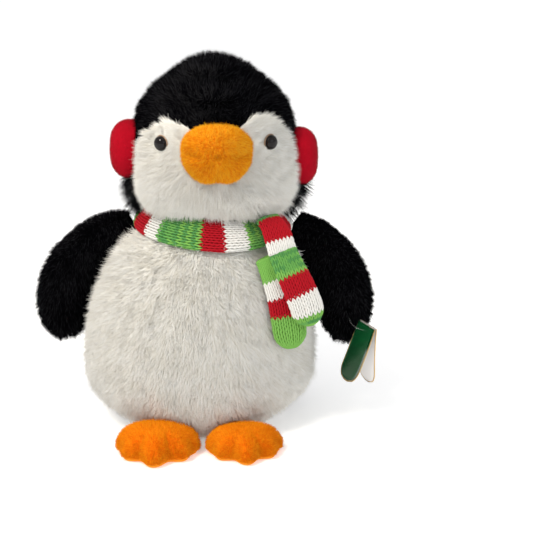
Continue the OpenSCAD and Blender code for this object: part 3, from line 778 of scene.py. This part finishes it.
def band(u, v, lift):
    """Round the neck: the pressed tube leans with the shoulders, and is gathered above the right wing."""
    a = 360 * v
    gather = bell(np.mod(a + 100, 360) - 180, 48)
    across, through_ = flat_oval(-u, SCARF_W * (1 - 0.34 * gather) + 2 * lift, SCARF_T + 2 * lift)
    out = through_ * sin(48) + across * cos(48)
    up = through_ * cos(48) - across * sin(48)
    depth = np.where(cos(a) > 0, 43.6, 39.5)
    height = TORSO_H - 9.5 - 6.5 * sin(a) + 7 * gather
    middle = xyz(NECK_X - 1 + 45 * sin(a) + 1.2 * gather, -depth * cos(a), height)
    return middle + xyz(out * sin(a), -out * cos(a), up)


def tail(line, aside, first, wide, thick, blunt):
    """Pressed tube along a line of stations, its flat side turned aside by some degrees: it widens from
    its first width and, if blunt is above 0, closes in a round end over that share of its length."""
    def shape(u, v, lift):
        v = np.clip(v, 0, 1)
        p = through(line, v)
        along = unit(through(line, np.minimum(1, v + 0.01)) - through(line, np.maximum(0, v - 0.01)))
        across = xyz(cos(aside), sin(aside), 0)
        side = unit(across - along * (along * across).sum(-1, keepdims=True))
        face_out = np.cross(along, side)
        close = np.sqrt(np.clip(1 - eased(1 - blunt, 1.02, v) ** 2, 0.05, 1)) if blunt else np.ones_like(v)
        width = mix(first, wide, eased(0, 0.6, v)) * close
        x, y = flat_oval(-u, width + 2 * lift, thick * close**0.7 + 2 * lift)
        return p + side * x[..., None] + face_out * y[..., None]
    return shape


def core(shape, courses, closed, colours):
    """The tube inside the loops, a little smaller, with a ring of faces for each course. A tube that isn't
    closed in a round has its two ends closed."""
    steps = 40
    u, v = np.meshgrid(np.arange(steps) / steps, np.linspace(0, 1, courses + 1)[:courses + (not closed)])
    points = shape(u, v, -0.55).reshape(-1, 3)
    at = np.arange(len(points)).reshape(-1, steps)
    high = np.roll(at, -1, 0) if closed else at[1:]
    low = at if closed else at[:-1]
    faces = np.stack([low, np.roll(low, -1, 1), np.roll(high, -1, 1), high], -1).reshape(-1, 4)
    tint = np.repeat(colours, steps)
    if not closed:
        ends = [at[0], at[-1]]
        points = np.concatenate([points, [points[e].mean(0) for e in ends]])
        none, n = np.full(steps, -1), len(points)
        cap = np.stack([np.roll(at[0], -1), at[0], np.full(steps, n - 2), none], -1)
        lid = np.stack([at[-1], np.roll(at[-1], -1), np.full(steps, n - 1), none], -1)
        faces = np.concatenate([faces, cap, lid])
        tint = np.concatenate([tint, np.full(steps, colours[0]), np.full(steps, colours[-1])])
    return points, faces, tint


def loops(shape, courses, closed, colours):
    """Rings of yarn: round the tube each swings once up and down per stitch, its legs leaning together at
    the foot and lying in front, its head and foot behind, so that the rings look hooked through one
    another. The green wanders between three dyes from stitch to stitch."""
    wales, per, sides = 15, 10, 5
    k, i = np.meshgrid(np.arange(courses), np.arange(wales * per), indexing="ij")
    t = 2 * np.pi * i / per
    u = (i / per + 0.2 * np.sin(2 * t)) / wales
    v = (k + 0.5 + 0.92 * np.cos(t)) / courses
    v = np.mod(v, 1) if closed else np.clip(v, 0.004, 0.996)
    lift = 0.1 - 0.48 * np.cos(2 * t)
    p = shape(u, v, lift)
    p = p + 0.12 * wander(p, 4, 5)
    out = unit(shape(u, v, 1.0) - shape(u, v, 0.0))
    run = unit(np.roll(p, -1, 1) - np.roll(p, 1, 1))
    out = unit(out - run * (out * run).sum(-1, keepdims=True))
    beside = np.cross(run, out)
    a = 2 * np.pi * np.arange(sides) / sides
    round_ = np.cos(a)[:, None] * out[..., None, :] + np.sin(a)[:, None] * beside[..., None, :]
    ring = p[..., None, :] + YARN * round_
    at = np.arange(ring[..., 0].size).reshape(courses, wales * per, sides)
    nxt = np.roll(at, -1, 1)
    faces = np.stack([at, nxt, np.roll(nxt, -1, 2), np.roll(at, -1, 2)], -1).reshape(-1, 4)
    place = np.arange(courses * wales).reshape(courses, wales)
    dyed = np.sin(place * 0.23 + 0.7 * np.sin(place * 0.061)) + 0.4 * np.sin(place * 0.041)
    stitch = np.repeat(np.asarray(colours)[:, None], wales, 1)
    greens = np.where(dyed > 0.4, LEAF, np.where(dyed > -0.4, GREEN, SPRING))
    stitch = np.where(stitch == GREEN, greens, stitch)
    tint = np.repeat(np.repeat(stitch, per, 1)[..., None], sides, 2).reshape(-1)
    return ring.reshape(-1, 3), faces[:, ::-1], tint


def stripes(courses, ends):
    """Colour of each course from a list of (share of the length where the stripe ends, colour)."""
    middle = (np.arange(courses) + 0.5) / courses
    edges = np.array([e for e, _ in ends])
    return np.array([c for _, c in ends])[np.minimum(np.searchsorted(edges, middle), len(ends) - 1)]


CROSS_LINE = [[47, -37, 146], [51.5, -43.5, 141.5], [54.5, -47.5, 134.5], [56.7, -49.6, 127]]
UPPER_LINE = [[56.7, -49.6, 127], [61, -53.5, 118], [66.5, -57, 106.5], [71.5, -57.5, 94.5], [75, -55.5, 81]]
LOWER_LINE = [[46, -47, 123], [51.5, -48.5, 111], [57.5, -50, 97], [60.5, -50.5, 81], [63, -50, 63.5]]
# Angle round the neck, from the front, at which each stripe of the band ends
NECK = [(12, RED), (28, WHITE), (60, GREEN), (79, RED), (96, WHITE), (128, GREEN), (147, RED),
        (164, WHITE), (198, GREEN), (217, RED), (234, WHITE), (282, GREEN), (304, RED), (320, WHITE),
        (353, GREEN), (360, RED)]
cross = tail(CROSS_LINE, 20, CROSS_W - 1, CROSS_W + 1.5, SCARF_T * 0.75, 0)
tail_upper = tail(UPPER_LINE, 14, CROSS_W + 1.5, TAIL_W, SCARF_T * 0.95, 0.26)
tail_lower = tail(LOWER_LINE, 14, CROSS_W - 3, TAIL_W + 1, SCARF_T, 0.22)
# Name, body, shape, courses, stripes, flat size in metres, how it is held and what it rests on
scarf_parts = (
    ("scarf_band", "torso", band, 104, [(a / 360, c) for a, c in NECK], (0.022, 0.27), "draped",
     ("belly_panel",)),
    ("scarf_cross", "torso", cross, 9, [(0.12, GREEN), (0.62, RED), (1, WHITE)], (0.0155, 0.026), "folded",
     ("scarf_band",)),
    ("scarf_tail_upper", "tail_upper", tail_upper, 20,
     [(0.36, GREEN), (0.62, RED), (0.86, WHITE), (1, GREEN)], (0.0195, 0.049), "hung",
     ("scarf_tail_lower",)),
    ("scarf_tail_lower", "tail_lower", tail_lower, 25,
     [(0.26, SPRING), (0.46, WHITE), (0.68, RED), (1, SPRING)], (0.0195, 0.062), "hung",
     ("belly_panel",)))
for name, body, shape, courses, ends, flat, held, under in scarf_parts:
    colours = stripes(courses, ends)
    closed = shape is band
    inner = make(f"{name}_core", knit, core(shape, courses, closed, colours))
    stitches = make(f"{name}_stitches", knit, loops(shape, courses, closed, colours))
    for piece in (inner, stitches):
        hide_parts(name)
        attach(piece, body)
    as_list(under)

green_thread = finish_of("green thread", (0.05, 0.2, 0.05), 0.8)
dressed("scarf_tack", green_thread)

# ------------------------------------------------------------------------------------------------
# Care label: a folded loop of white satin ribbon sewn into the back seam near the base.

LABEL_P, LABEL_L = np.array([0, BACK_DEPTH * BELLY_R * 0.99, 24.0]), 17.3
satin = grainy("label satin", (0.86, 0.86, 0.88), (0.93, 0.93, 0.95), 0.38, 0.35, 0.04)


def ribbon(thick):
    """Ribbon that leaves the seam, hangs down and curls a little outwards towards its fold."""
    def shape(u, v):
        s = LABEL_L * v
        curl = 0.012 * s * s
        y, z = s * 0.469 + curl * 0.8 + thick * 0.88, -s * 0.883 + curl * 0.3 + thick * 0.47
        return LABEL_P + xyz(mix(-7, 7, 1 - u), y, z)
    return shape


label = make("care_ribbon", [satin], shell(ribbon(0.3), ribbon(-0.3), 16, 24))
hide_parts("care_label")
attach(label, "label")

# ------------------------------------------------------------------------------------------------
# Hang tag: a folded card, its cover coated green over a white leaf and both edged in gilt, on a loop
# of clear string through the edge of the right wing.

TAG_W, TAG_H, TAG_CORNER, TAG_TURN, TAG_OPEN = 25, 41, 10, 22, 22
TAG_P = np.array([115.3, -10.5, 66.5])
green_card = finish_of("green card", (0.004, 0.075, 0.022), 0.22, Coat_Weight=0.6, Coat_Roughness=0.12)
gilt = finish_of("gilt edge", (0.72, 0.50, 0.22), 0.3, Metallic=1.0)
white_card = finish_of("white card", (0.86, 0.85, 0.84), 0.5)
clear_string = finish_of("clear string", (0.9, 0.9, 0.9), 0.1, Transmission_Weight=0.95, IOR=1.3)


def leaf(first, last, grow, tint, wavy):
    """Prism of the card's outline, grown by some mm, between two depths: a face each side made of strips
    from edge to edge, and a rim. It bows by wavy mm halfway down."""
    across = np.linspace(-1, 1, 15)
    down = np.linspace(0, 1, 25)
    x, s = np.meshgrid(across, down)
    h = TAG_H + grow
    r = TAG_CORNER + grow
    low = np.clip((s * h - (h - r)) / r, 0, 1)
    half = TAG_W / 2 + grow - r * (1 - np.sqrt(1 - low**2))
    y = x * half
    bow = wavy * np.sin(np.pi * s) * (1 - 0.3 * x)
    a, b = (xyz(depth + bow, y, -s * h).reshape(-1, 3) for depth in (first, last))
    at = np.arange(x.size).reshape(x.shape)
    sheet = np.stack([at[:-1, :-1], at[1:, :-1], at[1:, 1:], at[:-1, 1:]], -1).reshape(-1, 4)
    rim = np.concatenate([at[0, ::-1], at[1:, 0], at[-1, 1:], at[-2:0:-1, -1]])
    wall = np.stack([rim, np.roll(rim, -1), np.roll(rim, -1) + at.size, rim + at.size], -1)
    faces = np.concatenate([sheet[:, ::-1], sheet + at.size, wall[:, ::-1]])
    return np.concatenate([a, b]), faces, np.full(len(faces), tint)


def tag_place(part, open_=0):
    """Swings a leaf open about the fold by some degrees, turns it with the tag and hangs it at its place."""
    points, faces, tint = part
    x, y, z = np.moveaxis(points, -1, 0)
    x, z = x * cos(open_) + z * sin(open_), -x * sin(open_) + z * cos(open_)
    return TAG_P + turned(xyz(x, y, z), TAG_TURN), faces, tint


def lowered(part, drop):
    return part[0] - [0, 0, drop], part[1], part[2]


cards = [green_card, gilt, white_card]
cover = [leaf(-0.8, -0.3, 0, 1, 0.5), leaf(-0.86, -0.78, -1.0, 0, 0.5), leaf(-0.32, -0.26, -0.8, 2, 0.5)]
cover = make("tag_green_leaf", cards, *(tag_place(lowered(part, 0.6), TAG_OPEN) for part in cover))
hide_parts("tag_cover")
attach(cover, "tag_front")
back_leaf = [leaf(0.2, 0.7, 0, 1, -0.6), leaf(0.14, 0.22, -0.7, 2, -0.6), leaf(0.68, 0.76, -0.7, 2, -0.6)]
back_leaf = make("tag_white_leaf", cards, *(tag_place(part) for part in back_leaf))
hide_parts("tag_back")
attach(back_leaf, "tag")


def ring_of(r, rise, thick):
    """Loop of string from the tag's hole up to the wing: a small circle carried round a large one, which
    stands on the hole and is tilted by rise degrees."""
    a, b = np.meshgrid(np.linspace(0, 360, 61)[:-1], np.linspace(0, 360, 9)[:-1], indexing="ij")
    flat = r + thick * cos(b)
    x, y, z = flat * sin(a), r - flat * cos(a), thick * sin(b)
    y, z = y * cos(rise) - z * sin(rise), y * sin(rise) + z * cos(rise)
    points = (TAG_P + turned(xyz(x, y, z - 4), TAG_TURN)).reshape(-1, 3)
    at = np.arange(a.size).reshape(a.shape)
    nxt = np.roll(at, -1, 0)
    faces = np.stack([at, nxt, np.roll(nxt, -1, 1), np.roll(at, -1, 1)], -1).reshape(-1, 4)
    return points, faces, np.zeros(len(faces), int)


string = make("tag_string", [clear_string], ring_of(8.8, 25, 0.3))
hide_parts("tag_fastener")
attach(string, "wing_right")

# ------------------------------------------------------------------------------------------------
# The stand-in studio: a pale floor, a warm light above on the left, a cool fill from the right and an
# even sky.

floor_white = finish_of("floor", (0.9, 0.9, 0.9), 0.9, Emission_Color=(1, 1, 1, 1), Emission_Strength=0.33)
FAR, UNDER = 3e4, -0.2
corners = np.array([[-FAR, -FAR, UNDER], [FAR, -FAR, UNDER], [FAR, FAR, UNDER], [-FAR, FAR, UNDER]])
floor = make("floor", [floor_white], (corners, np.array([[0, 1, 2, 3]]), np.zeros(1, int)))

sky = bpy.data.worlds.new("even sky")
sky.use_nodes = True
glow = sky.node_tree.nodes["Background"]
glow.inputs["Color"].default_value = (1, 1, 1, 1)
glow.inputs["Strength"].default_value = 0.78
bpy.context.scene.world = sky


def soft_light(name, place, at, size, power, colour):
    """A square light at a place in metres, turned to a point."""
    lamp = bpy.data.lights.new(name, "AREA")
    lamp.size, lamp.energy, lamp.color = size, power, colour
    holder = bpy.data.objects.new(name, lamp)
    holder.location = place
    holder.rotation_euler = (Vector(at) - Vector(place)).to_track_quat("-Z", "Y").to_euler()
    bpy.context.scene.collection.objects.link(holder)


soft_light("key light", (-0.55, -0.75, 1.25), (0.03, 0, 0.12), 0.45, 15.5, (1, 0.94, 0.84))
soft_light("fill light", (1.0, -1.0, 0.6), (0.03, 0, 0.12), 0.7, 2.5, (0.86, 0.93, 1))

lens = bpy.data.cameras.new("camera")
lens.lens = 79.3
lens.sensor_width = 36
lens.clip_start = 0.05
camera = bpy.data.objects.new("camera", lens)
camera.location = (0.0464, -0.7727, 0.3115)
camera.rotation_euler = (np.radians(75), 0, 0)
bpy.context.scene.collection.objects.link(camera)
bpy.context.scene.camera = camera
bpy.context.scene.view_settings.view_transform = "Standard"
